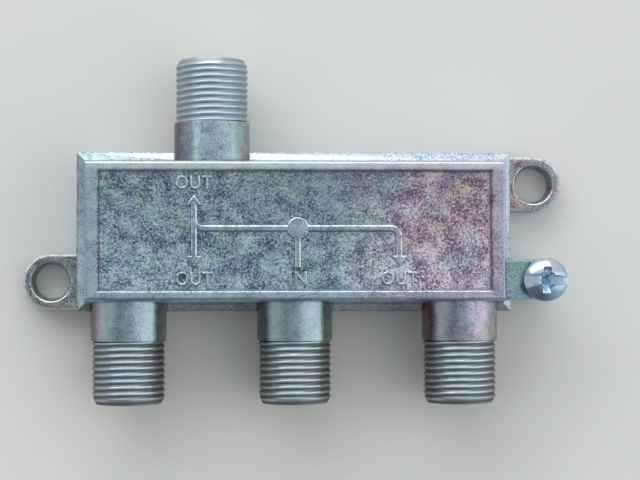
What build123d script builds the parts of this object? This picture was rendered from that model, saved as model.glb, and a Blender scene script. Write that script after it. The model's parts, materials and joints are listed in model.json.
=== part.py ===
from build123d import *

import math
import os

# Three-way coaxial splitter. A die-cast zinc box carries four threaded ports, two mounting
# ears and a grounding lug. A plate closes the back, and the splitting circuit sits inside.
# Origin: midway between the two mounting holes, on the back plane that meets the wall.
# +X runs along the box towards the grounding lug, +Y towards the single upper port, and
# +Z out through the front face. All sizes are in millimetres.

# Ports, for the usual screw-on cable plug
port_spacing = 21.2         # between neighbours of the lower row
thread_diameter = 9.25      # 3/8-32 thread, slightly under nominal as cast
thread_length = 8.0
collar_diameter = 9.65      # smooth length between the wall and the thread
port_reach = 11.75          # from the widest outline of the box to the end of the port
port_floor_gap = 1.975      # between the collar and the back plane, where a plug's nut turns
port_chamfer = 0.5
port_bore_diameter = 6.2
port_throat_diameter = 4.0  # where the bore narrows in the wall and stops the insulator
port_throat_depth = 11.4    # from the end of the port to the throat

# Box
box_width = 20.3            # outline at the parting line, across the long sides
port_end_margin = 1.775     # from an outer collar to the end of the box
rear_draft = 0.2            # the outline draws in by this much at the back plane
shoulder_width = 1.0        # sloped step all round the front half, at the parting line
shoulder_rise = 0.5
front_draft = 0.5           # the walls above the shoulder draw in by this much up to the face
face_over_port = 1.375      # metal between a collar and the front face
rim_round = 0.4             # of the outer edges of the front face
rim_side_width = 1.25       # along the long sides
rim_end_width = 1.85        # along the short sides
panel_recess = 0.5
panel_draft = 0.12
front_wall = 1.5            # under the recessed panel
rear_rim = 1.0              # wall round the edge of the rear cover
cover_ledge = 1.1           # seat of the rear cover
cavity_draft = 1.0

# Rear cover
cover_thickness = 0.8
cover_recess = 0.25         # below the back plane
cover_gap = 0.1
stake_length = 1.8          # rim metal punched over the edge of the cover
stake_reach = 0.8
stake_places = (-15, -5, 5, 15)   # in steps along the box

# Mounting ears
ear_radius = 3.6
ear_thickness = 2.8
ear_reach = 3.8             # from the end of the box to the hole
ear_side_step = 0.2         # between the ear's edge and the long side of the box
ear_hole_diameter = 4.5
ear_hole_depth = 1.2        # straight part of the hole, at the back
ear_hole_flare = 0.3        # the drafted part opens by this much on the radius
ear_edge_chamfer = 0.3

# Grounding lug and its screw
lug_radius = 2.55
lug_reach = 3.5             # from the end of the box to the screw
lug_side_step = 1.4         # between the lug's side and the long side of the box
lug_below_face = 0.55
lug_edge_chamfer = 0.25
wire_hole_diameter = 2.6
wire_hole_height = 7.0
screw_diameter = 3.0
screw_clearance = 0.05
tapped_hole_run_out = 0.7   # below the wire hole
screw_tip_gap = 0.2         # between the tip and the far side of the wire hole
screw_tip_chamfer = 0.4
head_diameter = 5.5
head_height = 2.0
head_side_height = 0.85     # straight side under the dome
slot_width = 1.15
slot_depth = 0.8
cross_length = 4.1
cross_width = 1.0
cross_depth = 1.5

# Port inserts
insulator_recess = 0.5      # below the end of the port
insulator_mouth_radius = 1.6
insulator_mouth_depth = 0.8
contact_radius = 1.0
contact_bore_radius = 0.5
contact_front_gap = 0.1     # behind the mouth's narrow end
contact_back_gap = 0.4      # in front of the throat
contact_bore_depth = 9.0
contact_slot_width = 0.25
contact_slot_length = 5.0
tail_width = 1.2
tail_thickness = 0.4
tail_overlap = 2.0          # length of the tail on the board

# Circuit board and the posts that carry it
board_thickness = 1.0
board_gap = 0.3
post_size = 2.4
post_pin_size = 1.1
post_pin_gap = 0.1
post_pin_stand = 0.5        # beyond the board
post_inset = 1.8            # from the long edge of the board
post_spots = ((-15, -1), (-15, 1), (15, -1), (10, 1))   # step along the box, side of it

# Parts on the board
core_width = 5.2
core_height = 3.2
core_length = 4.0
core_hole_radius = 0.75
core_hole_spacing = 2.6
core_corner = 1.0
wire_radius = 0.16
wire_turns = 3
wire_spacing = 0.42
winding_gap = 0.06          # between the core's end and the solder of a wire
resistor_radius = 0.85
resistor_length = 3.6
resistor_end_chamfer = 0.25
resistor_lead_spacing = 5.4
resistor_standoff = 0.2
capacitor_radius = 1.7
capacitor_thickness = 1.3
capacitor_lead_spacing = 2.4
capacitor_standoff = 0.5
capacitor_edge = 0.35
lead_radius = 0.22
lead_sides = 8
solder_spread = 0.38        # foot of the solder beyond the lead
solder_top = 0.12           # top of the solder beyond the lead
solder_height = 0.45

# Place of each part along the board, in steps of which the port spacing holds twenty
steps_per_port = 20
core_steps = {
    "input_transformer": 5,
    "first_hybrid": 12,
    "second_transformer": -5,
    "second_hybrid": -12,
}
resistor_steps = {"first_isolation_resistor": 17, "second_isolation_resistor": -17}
capacitor_steps = {
    "input_capacitor": 0,
    "first_balance_capacitor": 21,
    "second_balance_capacitor": -21,
}

cut_margin = 1.0            # cutters run this far past the face that they leave

# Sizes that follow from those above
box_length = 2 * (port_spacing + collar_diameter / 2 + port_end_margin)
port_axis_height = collar_diameter / 2 + port_floor_gap
box_depth = port_axis_height + collar_diameter / 2 + face_over_port
shoulder_top = port_axis_height + shoulder_rise
face_inset = shoulder_width + front_draft
port_end = box_width / 2 + port_reach
thread_start = port_end - thread_length
throat_start = port_end - port_throat_depth
panel_height = box_depth - panel_recess
cavity_top = panel_height - front_wall
cavity_floor = cover_recess + cover_thickness
ear_hole_x = box_length / 2 + ear_reach
ear_hole_y = box_width / 2 - ear_side_step - ear_radius
lug_x = box_length / 2 + lug_reach
lug_y = -(box_width / 2 - lug_side_step - lug_radius)
lug_height = box_depth - lug_below_face
wire_hole_floor = wire_hole_height - wire_hole_diameter / 2
cover_edge_inset = rear_draft + rear_rim
cavity_inset = cover_edge_inset + cover_ledge
board_back = port_axis_height + tail_thickness
board_front = board_back + board_thickness

ports = {
    "in": (0.0, -1),
    "out_left": (-port_spacing, -1),
    "out_right": (port_spacing, -1),
    "out_top": (-port_spacing / 2, 1),
}


def step_x(step):
    """Place along the box, counted in steps of which the port spacing holds twenty."""
    return step * port_spacing / steps_per_port


def cavity_inset_at(height):
    """How far the cavity's wall stands inside the widest outline at this height."""
    share = (height - cavity_floor) / (cavity_top - cavity_floor)
    return cavity_inset + cavity_draft * share


board_half_length = box_length / 2 - cavity_inset_at(board_front) - board_gap
board_half_width = box_width / 2 - cavity_inset_at(board_front) - board_gap
tail_end = board_half_width - tail_overlap
insulator_front = port_end - insulator_recess
mouth_end = insulator_front - insulator_mouth_depth
contact_front = mouth_end - contact_front_gap
contact_back = throat_start + contact_back_gap
wall_middle = box_width / 2 - (face_inset + cavity_inset) / 2
post_y = board_half_width - post_inset
winding_end = core_length / 2 + winding_gap + solder_spread + wire_radius
winding_exit = winding_end + 3 * wire_radius


def slab(inset, low, high):
    """Straight block with the box's outline, drawn in by inset."""
    outline = Rectangle(box_length - 2 * inset, box_width - 2 * inset)
    return extrude(Plane.XY.offset(low) * outline, high - low)


def tapered_slab(low_inset, high_inset, low, high, shorter=0):
    """Block with the box's outline, made shorter, whose sides lean from one inset to another."""
    outline = Rectangle(box_length - shorter - 2 * low_inset, box_width - 2 * low_inset)
    lean = math.degrees(math.atan2(high_inset - low_inset, high - low))
    return extrude(Plane.XY.offset(low) * outline, high - low, taper=lean)


def rod(radius, low, high):
    """Cylinder along Z from low to high."""
    return Pos(0, 0, (low + high) / 2) * Cylinder(radius, high - low)


def turned(points):
    """Solid of revolution about Z from radius and height points, closed on the axis."""
    outline = Polyline([(radius, 0, height) for radius, height in points], close=True)
    return revolve(make_face(outline), Axis.Z, 360)


def port_frame(x, side):
    """Plane whose Z runs out along a port from the box's middle, with Y towards the front."""
    return Plane(origin=(x, 0, port_axis_height), x_dir=(-side, 0, 0), z_dir=(0, side, 0))


def port_body():
    """Collar and barrel of a port, from inside the wall to the chamfered end."""
    collar = collar_diameter / 2
    barrel = thread_diameter / 2
    return turned([
        (0, wall_middle), (collar, wall_middle), (collar, thread_start), (barrel, thread_start),
        (barrel, port_end - port_chamfer), (barrel - port_chamfer, port_end), (0, port_end),
    ])


def port_bore():
    """Stepped hole through a port into the cavity."""
    bore = port_bore_diameter / 2
    throat = port_throat_diameter / 2
    into_cavity = board_half_width
    return turned([
        (0, into_cavity), (throat, into_cavity), (throat, throat_start),
        (bore, throat_start), (bore, port_end + cut_margin), (0, port_end + cut_margin),
    ])


def outer_box():
    """Box with a drafted rear half and a narrower front half on a sloped shoulder."""
    rear = tapered_slab(rear_draft, 0, 0, port_axis_height)
    shoulder = tapered_slab(0, shoulder_width, port_axis_height, shoulder_top)
    front = tapered_slab(shoulder_width, face_inset, shoulder_top, box_depth)
    front = fillet(front.edges().group_by(Axis.Z)[-1], rim_round)
    panel_inset = face_inset + rim_side_width
    shorter = 2 * (rim_end_width - rim_side_width)
    recess = tapered_slab(panel_inset, panel_inset - panel_draft, panel_height, box_depth, shorter)
    return rear + shoulder + front - recess


def ear(side):
    """Flat ear with a rounded end at one end of the box."""
    x = side * ear_hole_x
    y = side * ear_hole_y
    inner = side * (box_length / 2 - rear_rim)
    web = Pos((x + inner) / 2, y) * Rectangle(abs(x - inner), 2 * ear_radius)
    plate = extrude(Pos(x, y) * Circle(ear_radius) + web, ear_thickness)
    return chamfer(plate.edges().group_by(Axis.Z)[-1], ear_edge_chamfer)


def ear_hole(side):
    """Mounting hole: straight at the back, flared towards the front."""
    radius = ear_hole_diameter / 2
    hole = turned([
        (0, -cut_margin), (radius, -cut_margin), (radius, ear_hole_depth),
        (radius + ear_hole_flare, ear_thickness),
        (radius + ear_hole_flare, ear_thickness + cut_margin), (0, ear_thickness + cut_margin),
    ])
    return Pos(side * ear_hole_x, side * ear_hole_y, 0) * hole


def ground_lug():
    """Block at the end of the box that takes the grounding wire and its screw."""
    inner = box_length / 2 - face_inset - rim_round
    web = Pos((lug_x + inner) / 2, lug_y) * Rectangle(lug_x - inner, 2 * lug_radius)
    block = extrude(Pos(lug_x, lug_y) * Circle(lug_radius) + web, lug_height)
    return chamfer(block.edges().group_by(Axis.Z)[-1], lug_edge_chamfer)


def lug_holes():
    """Tapped hole for the screw and the hole that the wire passes through."""
    tapped = Pos(lug_x, lug_y) * rod(screw_diameter / 2 + screw_clearance,
                                     wire_hole_floor - tapped_hole_run_out,
                                     lug_height + cut_margin)
    across = Plane(origin=(lug_x, lug_y, wire_hole_height), z_dir=(0, 1, 0))
    wire_hole = across * Cylinder(wire_hole_diameter / 2, 2 * (lug_radius + cut_margin))
    return tapped + wire_hole


def post_places():
    """Centres of the posts that carry the board."""
    return [(step_x(step), side * post_y) for step, side in post_spots]


def board_posts():
    """Posts cast on the inside of the front wall, each with a pin for the board."""
    shape = Part()
    root = cavity_top + front_wall / 2
    pin_end = board_back - post_pin_stand
    for x, y in post_places():
        shape += Pos(x, y, (board_front + root) / 2) * Box(post_size, post_size, root - board_front)
        shape += Pos(x, y, (pin_end + root) / 2) * Box(post_pin_size, post_pin_size, root - pin_end)
    return shape


def stakes():
    """Rim metal punched over the edge of the rear cover."""
    half_width = box_width / 2 - cover_edge_inset
    half_length = box_length / 2 - cover_edge_inset
    shape = Part()
    for side in (-1, 1):
        for step in stake_places:
            lip = Box(stake_length, 2 * stake_reach, cover_recess)
            shape += Pos(step_x(step), side * half_width, cover_recess / 2) * lip
        lip = Box(2 * stake_reach, stake_length, cover_recess)
        shape += Pos(side * half_length, 0, cover_recess / 2) * lip
    return shape


def housing():
    """One casting: the box, its ports, ears and lug, hollow from the back."""
    shape = outer_box() + ear(-1) + ear(1) + ground_lug()
    for x, side in ports.values():
        shape += port_frame(x, side) * port_body()
    shape -= slab(cover_edge_inset, -cut_margin, cavity_floor)
    shape -= tapered_slab(cavity_inset, cavity_inset + cavity_draft, cavity_floor, cavity_top)
    for x, side in ports.values():
        shape -= port_frame(x, side) * port_bore()
    shape -= ear_hole(-1) + ear_hole(1)
    shape -= lug_holes()
    return shape + board_posts() + stakes()


def rear_cover():
    """Stamped plate that closes the back."""
    return slab(cover_edge_inset + cover_gap, cover_recess, cavity_floor)


def port_insulator(x, side):
    """Plastic insert that holds a contact in the middle of a port."""
    bore = port_bore_diameter / 2
    shape = turned([
        (contact_radius, throat_start), (bore, throat_start), (bore, insulator_front),
        (insulator_mouth_radius, insulator_front), (contact_radius, mouth_end),
    ])
    return port_frame(x, side) * shape


def contact_tail():
    """Flat strip from the back of a contact to the board, in the port's own frame."""
    middle = (contact_back + tail_end) / 2
    strip = Box(tail_width, tail_thickness, contact_back - tail_end)
    return Pos(0, tail_thickness / 2, middle) * strip


def center_contact(x, side):
    """Sprung tube that grips the cable's middle wire, with a flat tail to the board."""
    tube = rod(contact_radius, contact_back, contact_front)
    tube -= rod(contact_bore_radius, contact_front - contact_bore_depth, contact_front)
    slot_middle = contact_front - contact_slot_length / 2
    for turn in (0, 90):
        slot = Box(contact_slot_width, 3 * contact_radius, contact_slot_length)
        tube -= Pos(0, 0, slot_middle) * Rot(0, 0, turn) * slot
    return port_frame(x, side) * (tube + contact_tail())


def eight_sided(radius):
    """Section of a wire or a solder joint, with a flat on each axis."""
    return RegularPolygon(radius, lead_sides, major_radius=False, rotation=180 / lead_sides)


def bent_wire(points, radius):
    """Wire along straight runs with mitred corners, starting square to the board."""
    start = Plane(origin=points[0], x_dir=(1, 0, 0), z_dir=(0, 0, -1))
    return sweep(start * eight_sided(radius), path=Polyline(points), transition=Transition.RIGHT)


def winding_path():
    """Centre line of one winding, from lead to lead, about a core at the origin."""
    end = winding_end
    hole = core_hole_spacing / 2
    first = board_back - core_height / 2 + wire_spacing * (wire_turns - 1) / 2
    points = [(-hole, end, board_back)]
    for turn in range(wire_turns):
        height = first - turn * wire_spacing
        points += [(-hole, end, height), (-hole, -end, height)]
        points += [(hole, -end, height), (hole, end, height)]
    points += [(hole, winding_exit, height), (hole, winding_exit, board_back)]
    return points


def winding(step):
    """Enamelled wire wound through both holes of a core."""
    return Pos(step_x(step), 0, 0) * bent_wire(winding_path(), wire_radius)


def ferrite_core(step):
    """Two-hole ferrite bead, glued to the board."""
    outline = chamfer(Rectangle(core_width, core_height).vertices(), core_corner)
    for side in (-1, 1):
        outline -= Pos(side * core_hole_spacing / 2, 0) * Circle(core_hole_radius)
    middle = board_back - core_height / 2
    face = Plane(origin=(step_x(step), 0, middle), x_dir=(1, 0, 0), z_dir=(0, -1, 0))
    return extrude(face * outline, core_length / 2, both=True)


def resistor(step):
    """Axial resistor lying across the board, with its leads bent to the board."""
    x = step_x(step)
    height = board_back - resistor_standoff - resistor_radius
    body = chamfer(Cylinder(resistor_radius, resistor_length).edges().filter_by(GeomType.CIRCLE),
                   resistor_end_chamfer)
    half = resistor_lead_spacing / 2
    leads = bent_wire([(x, -half, board_back), (x, -half, height),
                       (x, half, height), (x, half, board_back)], lead_radius)
    return Plane(origin=(x, 0, height), z_dir=(0, 1, 0)) * body + leads


def capacitor(step):
    """Ceramic disc standing on the board with two straight leads."""
    x = step_x(step)
    height = board_back - capacitor_standoff - capacitor_radius
    disc = Cylinder(capacitor_radius, capacitor_thickness)
    disc = chamfer(disc.edges().filter_by(GeomType.CIRCLE), capacitor_edge)
    shape = Plane(origin=(x, 0, height), z_dir=(1, 0, 0)) * disc
    for side in (-1, 1):
        y = side * capacitor_lead_spacing / 2
        shape += bent_wire([(x, y, board_back), (x, y, height)], lead_radius)
    return shape


def lead_places():
    """Where each lead or wire end meets the board, with its radius."""
    places = []
    hole = core_hole_spacing / 2
    for step in core_steps.values():
        places.append((step_x(step) - hole, winding_end, wire_radius))
        places.append((step_x(step) + hole, winding_exit, wire_radius))
    for side in (-1, 1):
        for step in resistor_steps.values():
            places.append((step_x(step), side * resistor_lead_spacing / 2, lead_radius))
        for step in capacitor_steps.values():
            places.append((step_x(step), side * capacitor_lead_spacing / 2, lead_radius))
    return places


def circuit_board():
    """Board on the posts, slotted for the post pins."""
    outline = Rectangle(2 * board_half_length, 2 * board_half_width)
    slot = post_pin_size + 2 * post_pin_gap
    for x, y in post_places():
        outline -= Pos(x, y) * Rectangle(slot, slot)
    return extrude(Plane.XY.offset(board_back) * outline, board_thickness)


def solder_cone(x, y, radius):
    """Solder standing on the back of the board, round a lead or pin of this radius."""
    foot = Plane(origin=(x, y, board_back), z_dir=(0, 0, -1)) * eight_sided(radius + solder_spread)
    shape = extrude(foot, solder_height)
    return chamfer(shape.edges().group_by(Axis.Z)[0], solder_spread - solder_top)


def solder_joints():
    """Solder at the leads, at the post pins and over the ends of the contact tails."""
    joints = []
    for x, y, radius in lead_places():
        wire = bent_wire([(x, y, board_back), (x, y, board_back - 2 * solder_height)], radius)
        joints.append(solder_cone(x, y, radius) - wire)
    for x, y in post_places():
        pin = Pos(x, y, board_back) * Box(post_pin_size, post_pin_size, 3 * solder_height)
        joints.append(solder_cone(x, y, post_pin_size / math.sqrt(2)) - pin)
    for x, side in ports.values():
        cone = solder_cone(x, side * (tail_end + solder_spread), tail_width / 2)
        joints.append(cone - port_frame(x, side) * contact_tail())
    return Compound(children=[solid for joint in joints for solid in joint.solids()])


def ground_screw():
    """Pan-head machine screw with a slot and a cross recess in one."""
    head_bottom = lug_height
    side_top = head_bottom + head_side_height
    head_top = head_bottom + head_height
    tip = wire_hole_floor + screw_tip_gap
    shank = screw_diameter / 2
    head = head_diameter / 2
    shoulder = Vector(head, 0, side_top)
    dome_rise = head_top - side_top
    dome_radius = (head ** 2 + dome_rise ** 2) / (2 * dome_rise)
    half_angle = math.asin(head / dome_radius) / 2
    dome_middle = Vector(dome_radius * math.sin(half_angle), 0,
                         head_top - dome_radius * (1 - math.cos(half_angle)))
    outline = Polyline([
        (0, 0, head_top), (0, 0, tip), (shank - screw_tip_chamfer, 0, tip),
        (shank, 0, tip + screw_tip_chamfer), (shank, 0, head_bottom),
        (head, 0, head_bottom), shoulder,
    ])
    outline += ThreePointArc(shoulder, dome_middle, Vector(0, 0, head_top))
    shape = revolve(make_face(outline), Axis.Z, 360)
    slot = Box(head_diameter + cut_margin, slot_width, slot_depth)
    shape -= Pos(0, 0, head_top - slot_depth / 2) * slot
    for turn in (0, 90):
        arm = Rot(0, 0, turn) * Box(cross_length, cross_width, cross_depth)
        shape -= Pos(0, 0, head_top - cross_depth / 2) * arm
    return Pos(lug_x, lug_y, 0) * shape


def all_parts():
    """Every node of the splitter by name."""
    parts = {"housing": housing(), "rear_cover": rear_cover(), "circuit_board": circuit_board()}
    for name, (x, side) in ports.items():
        parts["insulator_" + name] = port_insulator(x, side)
        parts["contact_" + name] = center_contact(x, side)
    for name, step in core_steps.items():
        parts[name + "_core"] = ferrite_core(step)
        parts[name + "_winding"] = winding(step)
    for name, step in resistor_steps.items():
        parts[name] = resistor(step)
    for name, step in capacitor_steps.items():
        parts[name] = capacitor(step)
    parts["solder_joints"] = solder_joints()
    parts["ground_screw"] = ground_screw()
    return parts


os.makedirs("parts", exist_ok=True)
for node, shape in all_parts().items():
    export_step(shape, "parts/" + node + ".step")
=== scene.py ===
"""Looks of the coaxial splitter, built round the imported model's frame.

Lengths are in metres and angles in degrees, where nothing else is said.
"""
import json
import logging
import math
from collections.abc import Callable
from dataclasses import dataclass
from enum import Enum

import bmesh
import bpy
from mathutils import Matrix, Vector


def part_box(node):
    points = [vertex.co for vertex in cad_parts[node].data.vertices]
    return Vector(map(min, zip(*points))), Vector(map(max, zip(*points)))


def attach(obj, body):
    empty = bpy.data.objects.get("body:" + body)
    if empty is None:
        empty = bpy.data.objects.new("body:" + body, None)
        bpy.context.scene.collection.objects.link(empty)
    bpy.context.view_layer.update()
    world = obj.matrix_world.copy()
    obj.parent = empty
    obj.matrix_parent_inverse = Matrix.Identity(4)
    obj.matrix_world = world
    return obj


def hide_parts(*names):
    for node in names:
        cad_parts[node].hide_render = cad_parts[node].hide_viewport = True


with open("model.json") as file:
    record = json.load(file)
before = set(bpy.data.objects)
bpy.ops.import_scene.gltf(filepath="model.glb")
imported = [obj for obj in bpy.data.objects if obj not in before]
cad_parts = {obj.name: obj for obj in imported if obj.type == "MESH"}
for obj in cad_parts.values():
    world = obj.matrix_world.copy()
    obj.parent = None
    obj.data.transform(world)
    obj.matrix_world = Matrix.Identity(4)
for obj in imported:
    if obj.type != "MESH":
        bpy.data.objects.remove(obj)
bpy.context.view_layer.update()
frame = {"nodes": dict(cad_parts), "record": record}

MM = 0.001
FLAT = math.radians(0.5)    # largest angle between faces of the CAD that count as one
WELD = 0.002 * MM           # points closer than this are one
TINY = 1e-7                 # room for rounding in a comparison of lengths
Colour = tuple[float, float, float]
Span = tuple[float, float, float, float]    # from the range of the first two to that of the others
Stop = tuple[float, Colour]
CASTING = "casting"
SCREW = "screw"
log = logging.getLogger("splitter")


class Zone(Enum):
    """Kinds of surface that the die leaves on the casting, as values of the grain attribute."""

    # Rubbed edges, with a painted highlight where they face the window
    RUBBED = -0.5
    SKIN = 0.0
    COLLAR = 0.08
    RIM = 0.30
    LUG = 0.40
    MARK = 0.55
    EAR = 0.8
    PANEL = 1.0
    # Sides of the rim round the panel, which get painted shade
    INNER_SIDE = 1.25
    # Feet of the raised marks, which get painted shade
    FOOT = 1.5


class Side(Enum):
    """Long side of the box that a port stands on, as its direction along Y."""

    LOWER = -1
    UPPER = 1


@dataclass(frozen=True)
class Port:
    """One threaded port, as its mount in the record gives it."""

    name: str
    x: float
    height: float
    side: Side
    middle: float
    radius: float
    length: float

    @property
    def thread_start(self) -> float:
        """Distance from the box's middle line to the start of the thread."""
        return self.middle - self.length / 2

    def placed(self) -> Matrix:
        """Turns a form built along Z from the origin into the port's thread."""
        away = Vector((0, self.side.value, 0))
        across = Vector((-self.side.value, 0, 0))
        turn = Matrix((across, away.cross(across), away)).transposed().to_4x4()
        start = Vector((self.x, self.side.value * self.thread_start, self.height))
        return Matrix.Translation(start) @ turn


def ports_of(record: dict) -> list[Port]:
    """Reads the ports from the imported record.

    Args:
        record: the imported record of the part.

    Returns:
        One Port for each pin mount.
    """
    found = []
    for mount in record["mounts"]:
        if mount["kind"] == "pin":
            x, y, z = mount["pos_m"]
            side = Side.UPPER if mount["axis"][1] > 0 else Side.LOWER
            radius, length = mount["dims"]["r_mm"] * MM, mount["dims"]["length_mm"] * MM
            found.append(Port(mount["name"], x, z, side, abs(y), radius, length))
    return found


class Flow:
    """An output in a node tree. Arithmetic with it adds Math nodes to the tree."""

    def __init__(self, nodes: "Nodes", socket: bpy.types.NodeSocket) -> None:
        """Wraps an output socket."""
        self.nodes = nodes
        self.socket = socket

    def __add__(self, other: "Flow | float") -> "Flow":
        """Sum."""
        return self.nodes.math("ADD", self, other)

    def __sub__(self, other: "Flow | float") -> "Flow":
        """Difference."""
        return self.nodes.math("SUBTRACT", self, other)

    def __rsub__(self, other: float) -> "Flow":
        """Difference from a number."""
        return self.nodes.math("SUBTRACT", other, self)

    def __mul__(self, other: "Flow | float") -> "Flow":
        """Product."""
        return self.nodes.math("MULTIPLY", self, other)

    def __truediv__(self, other: "Flow | float") -> "Flow":
        """Quotient."""
        return self.nodes.math("DIVIDE", self, other)

    def __gt__(self, other: "Flow | float") -> "Flow":
        """1 where it is greater than the other, 0 elsewhere."""
        return self.nodes.math("GREATER_THAN", self, other)

    def __lt__(self, other: "Flow | float") -> "Flow":
        """1 where it is less than the other, 0 elsewhere."""
        return self.nodes.math("LESS_THAN", self, other)

    def __abs__(self) -> "Flow":
        """Its size without the sign."""
        return self.nodes.math("ABSOLUTE", self)


Value = Flow | float


class Nodes:
    """Short way to build a node tree: each call adds a node and links its inputs."""

    def __init__(self, tree: bpy.types.NodeTree) -> None:
        """Works on a tree."""
        self.tree = tree

    def add(self, kind: str, settings: dict | None = None, **inputs: object) -> bpy.types.Node:
        """Adds one node.

        Args:
            kind: Blender's name of the node type.
            settings: properties of the node itself.
            inputs: values or flows for its inputs, by name with _ for a space, or by in and a
                number. A trailing _ is dropped.

        Returns:
            The new node.
        """
        node = self.tree.nodes.new(kind)
        for name, value in (settings or {}).items():
            setattr(node, name, value)
        for name, value in inputs.items():
            if name.startswith("in") and name[2:].isdigit():
                self.fill(node.inputs[int(name[2:])], value)
            else:
                wanted = name.rstrip("_").replace("_", " ")
                self.fill(next(s for s in node.inputs if s.enabled and s.name == wanted), value)
        return node

    def get(self, kind: str, output: int | str, settings: dict | None = None,
            **inputs: object) -> Flow:
        """Adds one node as add does, and gives one of its outputs by number or name."""
        return Flow(self, self.add(kind, settings, **inputs).outputs[output])

    def fill(self, socket: bpy.types.NodeSocket, value: object) -> None:
        """Links a flow to an input, or sets the input to a value."""
        if isinstance(value, Flow):
            self.tree.links.new(value.socket, socket)
        else:
            socket.default_value = (*value, 1) if socket.type == "RGBA" else value

    def math(self, operation: str, *values: Value) -> Flow:
        """Adds a Math node.

        Args:
            operation: its operation, with a leading CLAMP_ to keep the result from 0 to 1.
            values: its numbers or flows in order.

        Returns:
            The result.
        """
        settings = {"operation": operation.removeprefix("CLAMP_"),
                    "use_clamp": operation.startswith("CLAMP_")}
        inputs = {f"in{i}": value for i, value in enumerate(values)}
        return self.get("ShaderNodeMath", 0, settings, **inputs)

    def span(self, value: Value, low: Value, high: Value, to_low: float = 0.0,
             to_high: float = 1.0) -> Flow:
        """Maps a value from one range to another, held at its ends."""
        return self.get("ShaderNodeMapRange", "Result", Value=value, From_Min=low, From_Max=high,
                        To_Min=to_low, To_Max=to_high)

    def dot(self, first: Flow, second: object) -> Flow:
        """Dot product of two directions."""
        return self.get("ShaderNodeVectorMath", "Value", {"operation": "DOT_PRODUCT"},
                        in0=first, in1=second)

    def parts(self, vector: Flow) -> tuple[Flow, Flow, Flow]:
        """The three components of a vector."""
        node = self.add("ShaderNodeSeparateXYZ", Vector=vector)
        return tuple(Flow(self, output) for output in node.outputs)

    def point(self, x: Value, y: Value, z: Value) -> Flow:
        """A vector from three components."""
        return self.get("ShaderNodeCombineXYZ", 0, X=x, Y=y, Z=z)


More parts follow.
